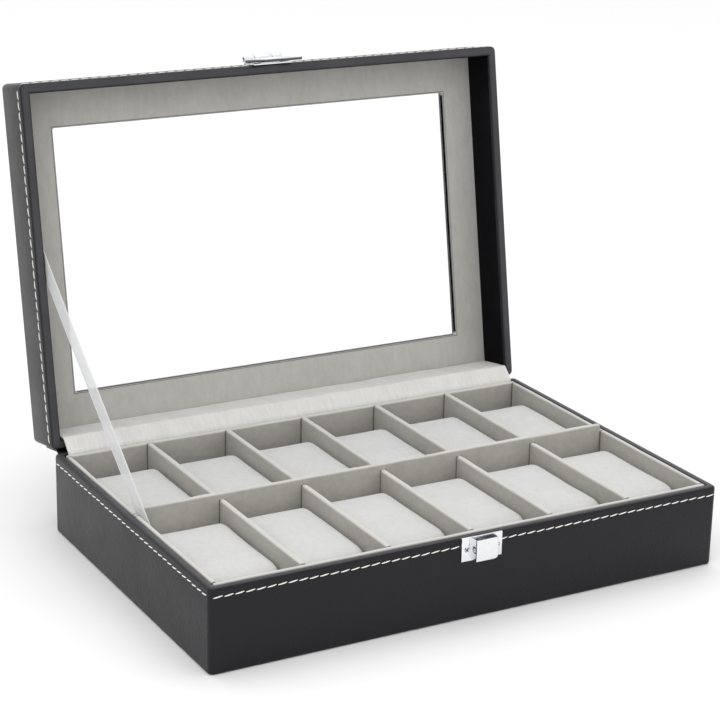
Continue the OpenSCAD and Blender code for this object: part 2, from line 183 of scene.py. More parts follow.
def nearAxis(spot, low, high, width):
    # 1 at either end of the span, 0 once width away from it
    fromLow = (spot - low) / width
    fromHigh = (high - spot) / width
    return 1.0 - fromLow.maths("MINIMUM", fromHigh).clamped()


def closeness(distance, width):
    # 1 where the distance is nothing, 0 once it reaches the width on either side
    return (1.0 - distance.maths("ABSOLUTE") / width).clamped()


# ---------- finishes ----------
leatherLook = {
    "colour": (0.0026, 0.0026, 0.0038), "worn": (0.04, 0.039, 0.039),
    "grain": 900.0, "grainDepth": 0.05 * mm, "edge": 1.6 * mm, "groove": 0.8 * mm,
    "rubbed": (0.05, 0.05, 0.054), "rim": 0.6 * mm, "shine": 0.31, "mattShine": 0.04,
    "tint": (0.93, 0.93, 1.0, 1.0), "wear": 0.35,
}


def leatherFinish(name, low, high, stitchHeight=None, turn=None, rimHeight=None, shine=None):
    # worn along the piece's outer edges, dented along the stitches and rubbed pale at the rim
    look = leatherLook
    shine = shine or look["shine"]
    finish = Finish(name, Specular_IOR_Level=shine, Specular_Tint=look["tint"],
                    Coat_Weight=shine * 0.13, Coat_Roughness=0.25)
    spot = finish.place(turn)
    x, y, z = finish.axes(spot)
    across = nearAxis(x, low.x, high.x, look["edge"])
    along = nearAxis(y, low.y, high.y, look["edge"])
    up = nearAxis(z, low.z, high.z, look["edge"])
    edges = (across * along + along * up + across * up).clamped()
    patches = finish.cloud(spot, 38.0, 4.0, 0.62)
    scuffs = finish.remap(finish.cloud(spot, 420.0, 3.0, 0.7), 0.5, 0.72, 0.0, 1.0)
    wear = edges * scuffs * look["wear"]
    colour = finish.blendColours(look["colour"], look["worn"], wear)
    if rimHeight is not None:
        rubbed = closeness(z - rimHeight, look["rim"]) * (0.45 + patches * 0.9)
        colour = finish.blendColours(colour, look["rubbed"], rubbed.clamped())
    pebbles = finish.cells(spot, look["grain"], "SMOOTH_F1")
    creases = finish.cloud(spot, 240.0, 5.0, 0.7)
    waviness = finish.cloud(spot, 22.0, 1.0, 0.4)
    height = pebbles * 1.6 + creases * 4.5 + waviness * 8.0
    if stitchHeight is not None:
        offset = (z - stitchHeight).maths("ABSOLUTE") / look["groove"]
        height = height - (1.0 - offset.clamped()) * 4.0
    roughness = 0.27 + patches * 0.2 + pebbles * 0.06 - edges * 0.05
    finish.paint(Base_Color=colour, Roughness=roughness)
    finish.bump(height, look["grainDepth"], 0.85)
    return finish.material


# colours and sizes of the painted highlight on board tops and of the painted shade in corners and
# round the window
paintedShadingLook = {"pale": (0.6, 0.587, 0.56), "deep": (0.05, 0.047, 0.043), "crest": 1.1 * mm,
            "joint": 0.8 * mm, "depth": 0.8, "window": 0.45 * mm, "windowOff": 0.7 * mm,
            "windowDepth": 0.75}


def velvetFinish(name, colour, shade, turn=None, nap=(1.0, 1.0, 1.0), light=None, dark=None):
    # short pile: soft patches where the nap lies over, and a fine fuzz;
    # light and dark take x, y, z and give where a painted highlight and where painted shade go into
    # the pile's colour
    finish = Finish(name, Sheen_Weight=0.25, Sheen_Roughness=0.45, Specular_IOR_Level=0.12)
    spot = finish.place(turn)
    patches = finish.cloud(spot, 42.0, 4.0, 0.6, nap)
    strokes = finish.cloud(spot, 260.0, 4.0, 0.65, nap)
    fuzz = finish.cloud(spot, 1100.0, 3.0, 0.75)
    shading = (patches * 1.1 + strokes * 1.5 + fuzz * 0.8 - 1.2).clamped()
    tone = finish.blendColours(shade, colour, shading)
    # painted highlight and painted shade are mixed into the pile's colour
    if light:
        tone = finish.blendColours(tone, paintedShadingLook["pale"], light(*finish.axes(spot)).clamped())
    if dark:
        tone = finish.blendColours(tone, paintedShadingLook["deep"], dark(*finish.axes(spot)).clamped())
    finish.paint(Base_Color=tone, Roughness=0.86 + patches * 0.12)
    finish.bump(fuzz + strokes * 0.7 + patches * 1.5, 0.12 * mm, 0.55)
    return finish.material


def paintedTopHighlight(height):
    # painted highlight: the pile is painted paler along a board's upper edge, where more light
    # falls on it
    return lambda x, y, z: (z - height + paintedShadingLook["crest"]) / paintedShadingLook["crest"]


def paintedCornerShade(x, y, z):
    # painted shade: dark lines down the inner corners of every compartment, where the boards meet
    pitch = (crossHigh.x - crossLow.x) + cellWidth
    along = (x - cellLeft).maths("FLOORED_MODULO", pitch)
    width = paintedShadingLook["joint"]
    nearX = closeness(along, width).maths("MAXIMUM", closeness(along - cellWidth, width))
    nearX = nearX.maths("MAXIMUM", closeness(along - pitch, width))
    inDivider = (along - cellWidth).maths("GREATER_THAN", 0.0)
    nearX = nearX.maths("MAXIMUM", inDivider)
    nearY = closeness(y - crossLow.y, width).maths("MAXIMUM", closeness(y - crossHigh.y, width))
    middle = closeness(y.maths("ABSOLUTE") - longHalf, width)
    below = z.maths("LESS_THAN", crossHigh.z)
    return nearX * nearY.maths("MAXIMUM", middle) * below * paintedShadingLook["depth"]


def paintedWindowShade(x, y, z):
    # painted shade: a thin dark line along the fold round the panel's window
    outX = x.maths("ABSOLUTE") - windowHigh.x
    outY = y.maths("ABSOLUTE") - windowHigh.y
    out = outX.maths("MAXIMUM", outY)
    return closeness(out - paintedShadingLook["windowOff"], paintedShadingLook["window"]) * paintedShadingLook["windowDepth"]


# shadow and slot are colours of painted shade
metalLook = {"bright": (0.86, 0.87, 0.89), "hazy": 0.82, "shadow": (0.02, 0.02, 0.022),
             "nail": (0.74, 0.75, 0.77), "nailHazy": (0.6, 0.61, 0.63), "slot": (0.01, 0.01, 0.012)}


def metalFinish(name, dark=None, turn=None):
    # polished and finely scratched; dark takes x, y, z and gives where it is in shadow
    finish = Finish(name, Metallic=1.0)
    spot = finish.place(turn)
    haze = finish.cloud(spot, 260.0, 3.0, 0.6)
    scratches = finish.cloud(spot, 900.0, 2.0, 0.5, (0.12, 1.0, 1.0))
    dull = tuple(c * metalLook["hazy"] for c in metalLook["bright"])
    tone = finish.blendColours(metalLook["bright"], dull, scratches * haze)
    if dark:
        shadow = dark(*finish.axes(spot)).clamped()
        tone = finish.blendColours(tone, metalLook["shadow"], shadow)
    finish.paint(Base_Color=tone, Roughness=0.1 + haze * 0.08 + scratches * 0.06)
    finish.bump(scratches, 0.01 * mm, 0.3)
    return finish.material


nailLook = {"head": 1.3 * mm, "slot": 0.46 * mm, "reach": 1.0 * mm}


def nailFinish(name, low, high, turn=None):
    # bright metal with painted shade in the cross slot of each nail
    finish = Finish(name, Metallic=1.0)
    spot = finish.place(turn)
    x, _, z = finish.axes(spot)
    middleX = (low.x + high.x) / 2
    headX = (high.x - low.x) / 2 - nailLook["head"]
    aside = ((x - middleX).maths("ABSOLUTE") - headX).maths("ABSOLUTE")
    above = (z - (low.z + high.z) / 2).maths("ABSOLUTE")
    slot = closeness(aside - above, nailLook["slot"])
    inside = aside.maths("LESS_THAN", nailLook["reach"])
    haze = finish.cloud(spot, 700.0, 3.0, 0.6)
    tone = finish.blendColours(metalLook["nail"], metalLook["nailHazy"], haze)
    # painted shade fills the recessed cross slot
    slotShade = (slot * 2.0).clamped() * inside
    finish.paint(Base_Color=finish.blendColours(tone, metalLook["slot"], slotShade),
                 Roughness=0.14 + haze * 0.12)
    finish.bump(haze, 0.02 * mm, 0.3)
    return finish.material


# size and strength of the painted shade ring round the housing's balls
ballLook = {"ring": 1.5 * mm, "width": 0.42 * mm, "depth": 1.6}


def paintedBallShade(x, y, z):
    # painted shade: a dark ring round the sprung ball in each side of the housing, where the gap is
    # in shade
    middle = (ballLow + ballHigh) / 2
    outY = y - middle.y
    outZ = z - middle.z
    radius = (outY * outY + outZ * outZ).maths("SQRT")
    return closeness(radius - ballLook["ring"], ballLook["width"]) * ballLook["depth"]


# size of the painted shade along the hasp's rear edges
rearLook = {"depth": 1.65 * mm, "fade": 0.5 * mm, "most": 0.9}


def paintedRearShade(x, y, z):
    # painted shade: the rear part of the hasp's plate edges is painted dark, as their underside in
    # shadow
    past = (y - haspBack + rearLook["depth"]) / rearLook["fade"]
    return past.clamped() * rearLook["most"]


# the second colour is painted shade between the thread's plies
threadLook = {"colour": (0.95, 0.93, 0.88), "plyShade": (0.75, 0.71, 0.64), "twist": 420.0}


def threadFinish(name):
    # painted shade: the thread is painted darker between its twisted plies, in blotches
    finish = Finish(name, Sheen_Weight=0.2)
    spot = finish.place()
    plies = finish.node("ShaderNodeTexWave", {"bands_direction": "DIAGONAL"},
                        {"Vector": spot, "Scale": threadLook["twist"], "Distortion": 0.6})
    blotches = finish.cloud(spot, 130.0)
    plyShade = plies * 0.5 * blotches
    colour = finish.blendColours(threadLook["colour"], threadLook["plyShade"], plyShade)
    finish.paint(Base_Color=colour, Roughness=0.7 + blotches * 0.2)
    finish.bump(plies, 0.1 * mm, 0.6)
    return finish.material


satinLook = {"colour": (0.74, 0.745, 0.75), "shade": (0.6, 0.605, 0.615), "cover": 0.5,
             "weaveCover": 0.16, "selvedgeCover": 0.35}


def ribbonFinish(name):
    # thin enough to see through, but for its selvedges
    look = satinLook
    finish = Finish(name, Sheen_Weight=0.3)
    spot = finish.place()
    weave = finish.cloud(spot, 1300.0, 2.0, 0.5, (1.0, 0.5, 2.0))
    ribs = finish.cloud(spot, 260.0, 2.0, 0.5, (1.0, 0.3, 2.5))
    _, y, z = finish.axes(spot)
    offset = (y - ribbonFoot.y) * ribbonSide.y + (z - ribbonFoot.z) * ribbonSide.z
    selvedge = closeness(offset.maths("ABSOLUTE") - ribbon["width"] / 2, ribbon["selvedge"])
    cover = look["cover"] + weave * look["weaveCover"] + selvedge * look["selvedgeCover"]
    finish.paint(Base_Color=finish.blendColours(look["colour"], look["shade"], ribs),
                 Roughness=0.42 + weave * 0.2, Alpha=cover)
    finish.bump(weave + ribs, 0.05 * mm, 0.5)
    return finish.material


glassLook = {"clear": (0.985, 0.995, 0.99), "smeared": (0.96, 0.975, 0.97), "smear": 0.05}


def glassFinish(name):
    finish = Finish(name, Transmission_Weight=1.0, IOR=1.45)
    spot = finish.place()
    smears = finish.remap(finish.cloud(spot, 18.0, 4.0, 0.6), 0.55, 0.75,
                          0.0, glassLook["smear"])
    tint = finish.blendColours(glassLook["clear"], glassLook["smeared"], smears * 6.0)
    finish.paint(Base_Color=tint, Roughness=smears)
    return finish.material


boardLook = {"colour": (0.42, 0.32, 0.21), "fibre": (0.27, 0.2, 0.13)}


def boardFinish(name):
    finish = Finish(name)
    spot = finish.place()
    fibres = finish.cloud(spot, 700.0, 4.0, 0.7, (0.4, 1.0, 1.0))
    specks = finish.cells(spot, 500.0)
    darker = fibres * 0.8 + specks * 0.3
    colour = finish.blendColours(boardLook["colour"], boardLook["fibre"], darker)
    finish.paint(Base_Color=colour, Roughness=0.8 + fibres * 0.15)
    finish.bump(fibres, 0.1 * mm, 0.5)
    return finish.material


feltLook = {"colour": (0.012, 0.012, 0.013), "fluff": (0.045, 0.045, 0.047)}


def feltFinish(name):
    finish = Finish(name, Sheen_Weight=0.3)
    spot = finish.place()
    fibres = finish.cloud(spot, 900.0, 5.0, 0.75)
    clumps = finish.cloud(spot, 120.0, 3.0, 0.6)
    colour = finish.blendColours(feltLook["colour"], feltLook["fluff"], fibres * clumps)
    finish.paint(Base_Color=colour, Roughness=0.9 + clumps * 0.1)
    finish.bump(fibres, 0.15 * mm, 0.7)
    return finish.material


# ---------- measures read from the CAD nodes ----------
trayLow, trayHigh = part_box("tray_leather")
lidLow, lidHigh = shutBox("lid_leather")
trayStitchLow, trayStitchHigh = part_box("tray_stitching")
lidStitchLow, lidStitchHigh = shutBox("lid_stitching")
trayStitchZ = (trayStitchLow.z + trayStitchHigh.z) / 2
lidStitchZ = (lidStitchLow.z + lidStitchHigh.z) / 2

crossLow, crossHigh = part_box("cross_divider_1")
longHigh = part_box("long_divider")[1]
longHalf = longHigh.y
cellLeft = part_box("lining_left")[1].x
cellWidth = crossLow.x - cellLeft

glassLap = 7 * mm  # how far the glass reaches past the window's edge
glassLow, glassHigh = shutBox("glass_pane")
windowLow = glassLow + Vector((glassLap, glassLap, 0))
windowHigh = glassHigh - Vector((glassLap, glassLap, 0))

ballLow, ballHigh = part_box("catch_balls")
haspBack = shutBox("hasp")[1].y

# the ribbon runs straight from its foot on the tray to its head on the lid
ribbon = {"width": 11 * mm, "thickness": 0.35 * mm, "tab": 12 * mm, "reach": 106.5 * mm,
          "sink": 1 * mm, "lift": 6 * mm, "gap": 0.15 * mm, "bend": 5 * mm, "selvedge": 1.3 * mm,
          "piecesAcross": 6, "piecesAlong": 120}
ribbonY = hingePoint.y - ribbon["reach"]
ribbonFoot = Vector((0, ribbonY, trayHigh.z - ribbon["sink"]))
ribbonHead = toOpen @ Vector((0, ribbonY, hingePoint.z + ribbon["lift"]))
ribbonSide = (ribbonHead - ribbonFoot).normalized().cross(Vector((1, 0, 0)))


# ---------- the materials ----------
trayLeather = leatherFinish("trayLeather", trayLow, trayHigh, trayStitchZ, rimHeight=trayHigh.z)
lidLeather = leatherFinish("lidLeather", lidLow, lidHigh, lidStitchZ, toShut, lidLow.z)
insideLeather = leatherFinish("insideLeather", lidLow, lidHigh, turn=toShut,
                              shine=leatherLook["mattShine"])
stripLeather = leatherFinish("stripLeather", *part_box("hinge_strip"))

# each velvet's colour at the tips of its pile, then between the hairs
piles = {
    "lining": ((0.43, 0.412, 0.382), (0.345, 0.33, 0.302)),
    "panel": ((0.5, 0.492, 0.462), (0.41, 0.402, 0.378)),
    "flap": ((0.72, 0.715, 0.69), (0.6, 0.595, 0.57)),
    "pillow": ((0.655, 0.655, 0.642), (0.575, 0.575, 0.562)),
}
liningVelvet = velvetFinish("liningVelvet", *piles["lining"], light=paintedTopHighlight(trayHigh.z),
                            dark=paintedCornerShade)
dividerVelvet = velvetFinish("dividerVelvet", *piles["lining"], light=paintedTopHighlight(longHigh.z),
                             dark=paintedCornerShade)
panelVelvet = velvetFinish("panelVelvet", *piles["panel"], turn=toShut, nap=(1.0, 0.35, 1.0),
                           dark=paintedWindowShade)
flapVelvet = velvetFinish("flapVelvet", *piles["flap"], nap=(2.6, 0.5, 0.5))
pillowVelvet = velvetFinish("pillowVelvet", *piles["pillow"])

brightMetal = metalFinish("brightMetal")
housingMetal = metalFinish("housingMetal", dark=paintedBallShade)
haspMetal = metalFinish("haspMetal", dark=paintedRearShade, turn=toShut)
catchNailMetal = nailFinish("catchNailMetal", *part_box("catch_nails"))
haspNailMetal = nailFinish("haspNailMetal", *shutBox("hasp_nails"), toShut)

sewingThread = threadFinish("sewingThread")
satinRibbon = ribbonFinish("satinRibbon")
windowGlass = glassFinish("windowGlass")
fibreboard = boardFinish("fibreboard")
blackFelt = feltFinish("blackFelt")
print("finishes ready")


# ---------- mesh helpers ----------
def block(low, high):
    bm = bmesh.new()
    bmesh.ops.create_cube(bm, size=1.0)
    bmesh.ops.scale(bm, vec=high - low, verts=bm.verts)
    bmesh.ops.translate(bm, vec=(low + high) / 2, verts=bm.verts)
    return bm


def soften(bm, edges, radius, segments=3):
    bmesh.ops.bevel(bm, geom=edges, offset=radius, segments=segments, profile=0.5,
                    affect="EDGES", material=-1, clamp_overlap=True)


def softBlock(low, high, radius, segments=3):
    bm = block(low, high)
    soften(bm, bm.edges[:], radius, segments)
    return bm


def atLevel(bm, level):
    # edges lying at a height that border an upright face
    bm.normal_update()
    return [e for e in bm.edges if all(abs(v.co.z - level) < hair for v in e.verts)
            and any(abs(f.normal.z) < 0.5 for f in e.link_faces)]


def outerUprights(bm, side):
    # a cover's four outside corner edges
    return [e for e in bm.edges if abs(e.verts[0].co.z - e.verts[1].co.z) > tall
            and abs(e.verts[0].co.x) > side - near]


def facing(bm, direction):
    # the face that looks most squarely in a direction
    bm.normal_update()
    return max(bm.faces, key=lambda f: f.normal.dot(direction) * 10 + f.calc_area())


def facesToward(bm, direction, level):
    # flat faces that look in a direction and lie at a level along it
    bm.normal_update()
    return [f for f in bm.faces if f.normal.dot(direction) > 0.99
            and abs(f.calc_center_median().dot(direction) - level) < 5 * hair]


def insetTo(bm, face, low, high):
    # insets a face and puts its corners on the rectangle from low to high
    bmesh.ops.inset_region(bm, faces=[face], thickness=near)
    middle = face.calc_center_median()
    for corner in face.verts:
        corner.co.x = high.x if corner.co.x > middle.x else low.x
        corner.co.y = high.y if corner.co.y > middle.y else low.y


def pushIn(bm, face, depth):
    # moves a face, leaves walls behind it and gives the moved face
    made = bmesh.ops.extrude_face_region(bm, geom=[face])["geom"]
    moved = [g for g in made if isinstance(g, bmesh.types.BMVert)]
    bmesh.ops.translate(bm, vec=depth, verts=moved)
    if face.is_valid:
        bmesh.ops.delete(bm, geom=[face], context="FACES")
    return next(g for g in made if isinstance(g, bmesh.types.BMFace))


def finishPiece(name, bm, material, body, replaced, turned=None, sharp=40):
    # makes the object, lets it ride on its body and stand for its CAD nodes;
    # edges that turn by more than sharp degrees stay crisp
    if turned is not None:
        bmesh.ops.transform(bm, matrix=turned, verts=bm.verts)
    for edge in bm.edges:
        edge.smooth = not edge.is_manifold or edge.calc_face_angle(0.0) < math.radians(sharp)
    for face in bm.faces:
        face.smooth = True
    mesh = bpy.data.meshes.new(name)
    bm.to_mesh(mesh)
    bm.free()
    mesh.materials.append(material)
    piece = bpy.data.objects.new(name, mesh)
    bpy.context.scene.collection.objects.link(piece)
    if body:  # a sheet is left on no body
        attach(piece, body)
    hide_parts(*replaced)
    return piece


def addInto(bm, other):
    # puts a second bmesh into the first
    scratch = bpy.data.meshes.new("scratch")
    other.to_mesh(scratch)
    other.free()
    bm.from_mesh(scratch)
    bpy.data.meshes.remove(scratch)


def softNoise(point, scale, seed):
    return noise.noise(point * scale + Vector((seed * 7.1, seed * 3.3, seed * 1.7)))


# ---------- leather covers ----------
trayCover = {"corner": 3.0 * mm, "rim": 1.7 * mm, "foot": 1.4 * mm, "floor": 0.5 * mm,
             "gap": 0.1 * mm}


def buildTrayCover():
    # a block hollowed to take the lining boards
    look = trayCover
    bm = block(trayLow, trayHigh)
    top = facing(bm, Vector((0, 0, 1)))
    room = Vector((look["gap"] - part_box("lining_left")[0].x,
                   look["gap"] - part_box("lining_front")[0].y, 0))
    insetTo(bm, top, -room, room)
    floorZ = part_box("floor_lining")[0].z + look["floor"]
    pushIn(bm, top, Vector((0, 0, floorZ - trayHigh.z)))
    soften(bm, outerUprights(bm, trayHigh.x), look["corner"], 6)
    soften(bm, atLevel(bm, trayHigh.z), look["rim"], 4)
    soften(bm, atLevel(bm, trayLow.z), look["foot"], 3)
    bmesh.ops.recalc_face_normals(bm, faces=bm.faces)
    finishPiece("trayCover", bm, trayLeather, "tray", ["tray_leather"])


lidCover = {"corner": 3.0 * mm, "rim": 2.1 * mm, "top": 1.5 * mm, "tuck": 0.7 * mm,
            "seat": 0.3 * mm, "insideMargin": 0.2 * mm}
panelLow, panelHigh = shutBox("lid_panel")
lidWall = panelLow.x + lidCover["tuck"] - lidLow.x


def joinRings(bm, first, second):
    # opens a tunnel between two faces
    edges = list(first.edges) + list(second.edges)
    bmesh.ops.delete(bm, geom=[first, second], context="FACES_ONLY")
    bmesh.ops.bridge_loops(bm, edges=edges)


def windowUprights(bm, low, high):
    # the edges along Z at the window's corners
    return [e for e in bm.edges
            if abs(e.verts[0].co.x - e.verts[1].co.x) < hair
            and abs(e.verts[0].co.y - e.verts[1].co.y) < hair
            and abs(abs(e.verts[0].co.x) - high.x) < 10 * hair
            and low.y - 10 * hair < e.verts[0].co.y < high.y + 10 * hair]


def buildLidCover():
    # modelled shut: a block hollowed from below, with the window cut through it
    look = lidCover
    bm = block(lidLow, lidHigh)
    wall = Vector((lidWall, lidWall, 0))
    under = facing(bm, Vector((0, 0, -1)))
    insetTo(bm, under, lidLow + wall, lidHigh - wall)
    ceiling = pushIn(bm, under, Vector((0, 0, panelLow.z + look["seat"] - lidLow.z)))
    insetTo(bm, ceiling, windowLow, windowHigh)
    top = facesToward(bm, Vector((0, 0, 1)), lidHigh.z)[0]
    insetTo(bm, top, windowLow, windowHigh)
    joinRings(bm, ceiling, top)
    soften(bm, outerUprights(bm, lidHigh.x), look["corner"], 6)
    soften(bm, atLevel(bm, lidLow.z), look["rim"], 4)
    soften(bm, atLevel(bm, lidHigh.z), look["top"], 4)
    bmesh.ops.recalc_face_normals(bm, faces=bm.faces)
    # the walls' insides are matt black
    within = lidWall - look["insideMargin"]
    for face in bm.faces:
        middle = face.calc_center_median()
        aside = (middle.x - lidLow.x, lidHigh.x - middle.x,
                 middle.y - lidLow.y, lidHigh.y - middle.y)
        if min(aside) > within and lidLow.z + look["rim"] < middle.z < panelLow.z:
            face.material_index = 1
    piece = finishPiece("lidCover", bm, lidLeather, "lid", ["lid_leather"], toOpen)
    piece.data.materials.append(insideLeather)


buildTrayCover()
buildLidCover()
print("leather covers ready")


# ---------- stitching ----------
stitching = {"length": 5.3 * mm, "pitch": 5.7 * mm, "radius": 0.32 * mm, "lean": -7.0,
             "dip": 0.3 * mm, "taper": 0.6, "taperFrom": 0.6, "sides": 7,
             "cuts": (-0.42, -0.2, 0.2, 0.42), "corner": 1.8 * mm, "proud": 0.1 * mm,
             "wobble": 0.12 * mm, "seed": 4}


def oneStitch():
    # a short length of thread along X whose ends go down into the leather (+Y)
    bm = bmesh.new()
    look = stitching
    bmesh.ops.create_cone(bm, cap_ends=True, segments=look["sides"], radius1=look["radius"],
                          radius2=look["radius"], depth=look["length"])
    bmesh.ops.rotate(bm, matrix=Matrix.Rotation(math.radians(90), 3, "Y"), verts=bm.verts)
    for share in look["cuts"]:
        bmesh.ops.bisect_plane(bm, geom=bm.verts[:] + bm.edges[:] + bm.faces[:],
                               plane_co=(share * look["length"], 0, 0), plane_no=(1, 0, 0))
    for v in bm.verts:
        reach = abs(v.co.x) / (look["length"] / 2)
        past = max(0.0, reach - look["taperFrom"]) / (1.0 - look["taperFrom"])
        slim = 1.0 - look["taper"] * past
        v.co.y = v.co.y * slim + look["dip"] * reach ** 4
        v.co.z *= slim
    bmesh.ops.rotate(bm, matrix=Matrix.Rotation(math.radians(look["lean"]), 3, "Y"), verts=bm.verts)
    return bm


def stitchLine(bm, template, length, turn, outward, height, skip):
    # places stitches along a wall; turn is the wall's angle about Z
    look = stitching
    count = int((length - look["length"]) / look["pitch"])
    for i in range(count + 1):
        x = (i - count / 2) * look["pitch"]
        if skip and skip[0] < x - look["length"] / 2 and x + look["length"] / 2 < skip[1]:
            continue
        wobble = random.uniform(-look["wobble"], look["wobble"])
        place = Matrix.Rotation(turn, 4, "Z") @ Matrix.Translation((x, -outward, height + wobble))
        made = bmesh.ops.duplicate(bm, geom=template)["geom"]
        moved = [g for g in made if isinstance(g, bmesh.types.BMVert)]
        bmesh.ops.transform(bm, matrix=place, verts=moved)


def buildStitching(name, body, node, height, plate, turned=None):
    # along the front, but for the dashes under the metal plate, and along both sides
    look = stitching
    random.seed(look["seed"])
    bm = oneStitch()
    template = bm.verts[:] + bm.edges[:] + bm.faces[:]
    frontOut = (trayHigh.y - trayLow.y) / 2 + look["proud"]
    sideOut = (trayHigh.x - trayLow.x) / 2 + look["proud"]
    frontLength = trayHigh.x - trayLow.x - 2 * look["corner"]
    sideLength = trayHigh.y - trayLow.y - 2 * look["corner"]
    skip = (plate[0].x, plate[1].x)
    stitchLine(bm, template, frontLength, 0.0, frontOut, height, skip)
    for turn in (90, -90):
        stitchLine(bm, template, sideLength, math.radians(turn), sideOut, height, None)
    bmesh.ops.delete(bm, geom=[g for g in template if isinstance(g, bmesh.types.BMVert)],
                     context="VERTS")
    finishPiece(name, bm, sewingThread, body, [node], turned, 80)


buildStitching("trayThread", "tray", "tray_stitching", trayStitchZ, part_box("catch_plate"))
buildStitching("lidThread", "lid", "lid_stitching", lidStitchZ, shutBox("hasp_plate"), toOpen)
print("stitching ready")


# ---------- velvet boards ----------
velvetBoard = {"edge": 0.95 * mm, "mostEdge": 0.38, "pieceLength": 9 * mm, "wave": 0.32 * mm,
               "sideWave": 0.45, "sideScale": 45.0, "crestScale": 70.0, "longWave": 1.6}


def buildVelvetBoard(node, seed):
    # a board covered in velvet that waves a little more towards its upper edge
    look = velvetBoard
    low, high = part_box(node)
    bm = block(low, high)
    size = high - low
    soften(bm, bm.edges[:], min(look["edge"], min(size) * look["mostEdge"]), 4)
    along = max(range(2), key=lambda axis: size[axis])
    cuts = int(size[along] / look["pieceLength"])
    normal = Vector((1, 0, 0)) if along == 0 else Vector((0, 1, 0))
    for i in range(1, cuts):
        bmesh.ops.bisect_plane(bm, geom=bm.verts[:] + bm.edges[:] + bm.faces[:],
                               plane_co=low + normal * size[along] * i / cuts, plane_no=normal)
    isLong = node == "long_divider"
    wave = look["wave"] * (look["longWave"] if isLong else 1.0)
    thin = min(range(2), key=lambda axis: size[axis])
    for v in bm.verts:
        share = (v.co.z - low.z) / size.z
        v.co[thin] += softNoise(v.co, look["sideScale"], seed) * wave * look["sideWave"] * share
        v.co.z += softNoise(v.co, look["crestScale"], seed + 5) * wave * share
    name = "".join(part.capitalize() for part in node.split("_"))
    pile = dividerVelvet if isLong else liningVelvet
    finishPiece("velvet" + name, bm, pile, "tray", [node], None, 80)


trayBoards = ["lining_front", "lining_back", "lining_left", "lining_right", "long_divider"]
trayBoards += [f"cross_divider_{i}" for i in range(1, 6)]
for index, node in enumerate(trayBoards):
    buildVelvetBoard(node, index)


floorEdge = 0.3 * mm


def buildFloorLining():
    low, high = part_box("floor_lining")
    bm = softBlock(low, high, floorEdge, 2)
    finishPiece("velvetFloor", bm, liningVelvet, "tray", ["floor_lining"])


lidPanel = {"windowCorner": 1.6 * mm, "lip": 0.7 * mm}


def buildLidPanel():
    # the velvet panel, its edge rolled over round the window
    bm = block(panelLow, panelHigh)
    top = facesToward(bm, Vector((0, 0, 1)), panelHigh.z)[0]
    under = facesToward(bm, Vector((0, 0, -1)), -panelLow.z)[0]
    insetTo(bm, top, windowLow, windowHigh)
    insetTo(bm, under, windowLow, windowHigh)
    joinRings(bm, top, under)
    soften(bm, windowUprights(bm, windowLow, windowHigh), lidPanel["windowCorner"], 5)
    bm.normal_update()
    lip = [e for e in atLevel(bm, panelLow.z)
           if abs(e.verts[0].co.x) < windowHigh.x + near
           and windowLow.y - near < e.verts[0].co.y < windowHigh.y + near]
    soften(bm, lip, lidPanel["lip"], 4)
    bmesh.ops.recalc_face_normals(bm, faces=bm.faces)
    finishPiece("velvetPanel", bm, panelVelvet, "lid", ["lid_panel"], toOpen)


buildFloorLining()
buildLidPanel()
print("velvet boards ready")

# ---------- pillows ----------
pillow = {"voxel": 2.6 * mm, "pressure": 3.0, "frames": 20, "cap": 1.2 * mm, "shrink": 0.4 * mm,
          "edge": 2.2 * mm, "round": 13 * mm, "fill": 0.85, "variation": 0.35 * mm,
          "lumps": 38.0, "flattened": 0.3, "crown": 1.0 * mm}


def pillowBlank(low, high):
    # the sewn cover before it is stuffed: rounded front and back, tighter side seams
    shrink = Vector((1, 1, 1)) * pillow["shrink"]
    bm = block(low + shrink, high - shrink)
    across = [e for e in bm.edges if abs(e.verts[0].co.x - e.verts[1].co.x) > tall]
    soften(bm, across, pillow["round"], 10)
    bm.normal_update()
    sides = [e for e in bm.edges if len(e.link_faces) == 2
             and sum(abs(f.normal.x) > 0.9 for f in e.link_faces) == 1]
    soften(bm, sides, pillow["edge"], 4)
    return bm


def stuffed(bm, name):
    # remeshes the blank and blows it up a little as cloth
    mesh = bpy.data.meshes.new(name)
    bm.to_mesh(mesh)
    bm.free()
    body = bpy.data.objects.new(name, mesh)
    bpy.context.scene.collection.objects.link(body)
    bpy.context.view_layer.objects.active = body
    remesh = body.modifiers.new("remesh", "REMESH")
    remesh.mode = "VOXEL"
    remesh.voxel_size = pillow["voxel"]
    bpy.ops.object.modifier_apply(modifier="remesh")
    before = [v.co.copy() for v in body.data.vertices]
    cloth = body.modifiers.new("cloth", "CLOTH")
    cloth.settings.use_pressure = True
    cloth.settings.uniform_pressure_force = pillow["pressure"]
    cloth.settings.effector_weights.gravity = 0
    scene = bpy.context.scene
    for step in range(1, pillow["frames"] + 1):
        scene.frame_set(step)
    shaped = body.evaluated_get(bpy.context.evaluated_depsgraph_get())
    after = [v.co.copy() for v in shaped.data.vertices]
    body.modifiers.remove(cloth)
    for v, old, new in zip(body.data.vertices, before, after):
        move = new - old
        if move.length > pillow["cap"]:
            move = move.normalized() * pillow["cap"]
        v.co = old + move
    scene.frame_set(1)
    subdivision = body.modifiers.new("smooth", "SUBSURF")
    subdivision.levels = 1
    subdivision.render_levels = 1
    bpy.ops.object.modifier_apply(modifier="smooth")
    made = bmesh.new()
    made.from_mesh(body.data)
    bpy.data.objects.remove(body)
    return made


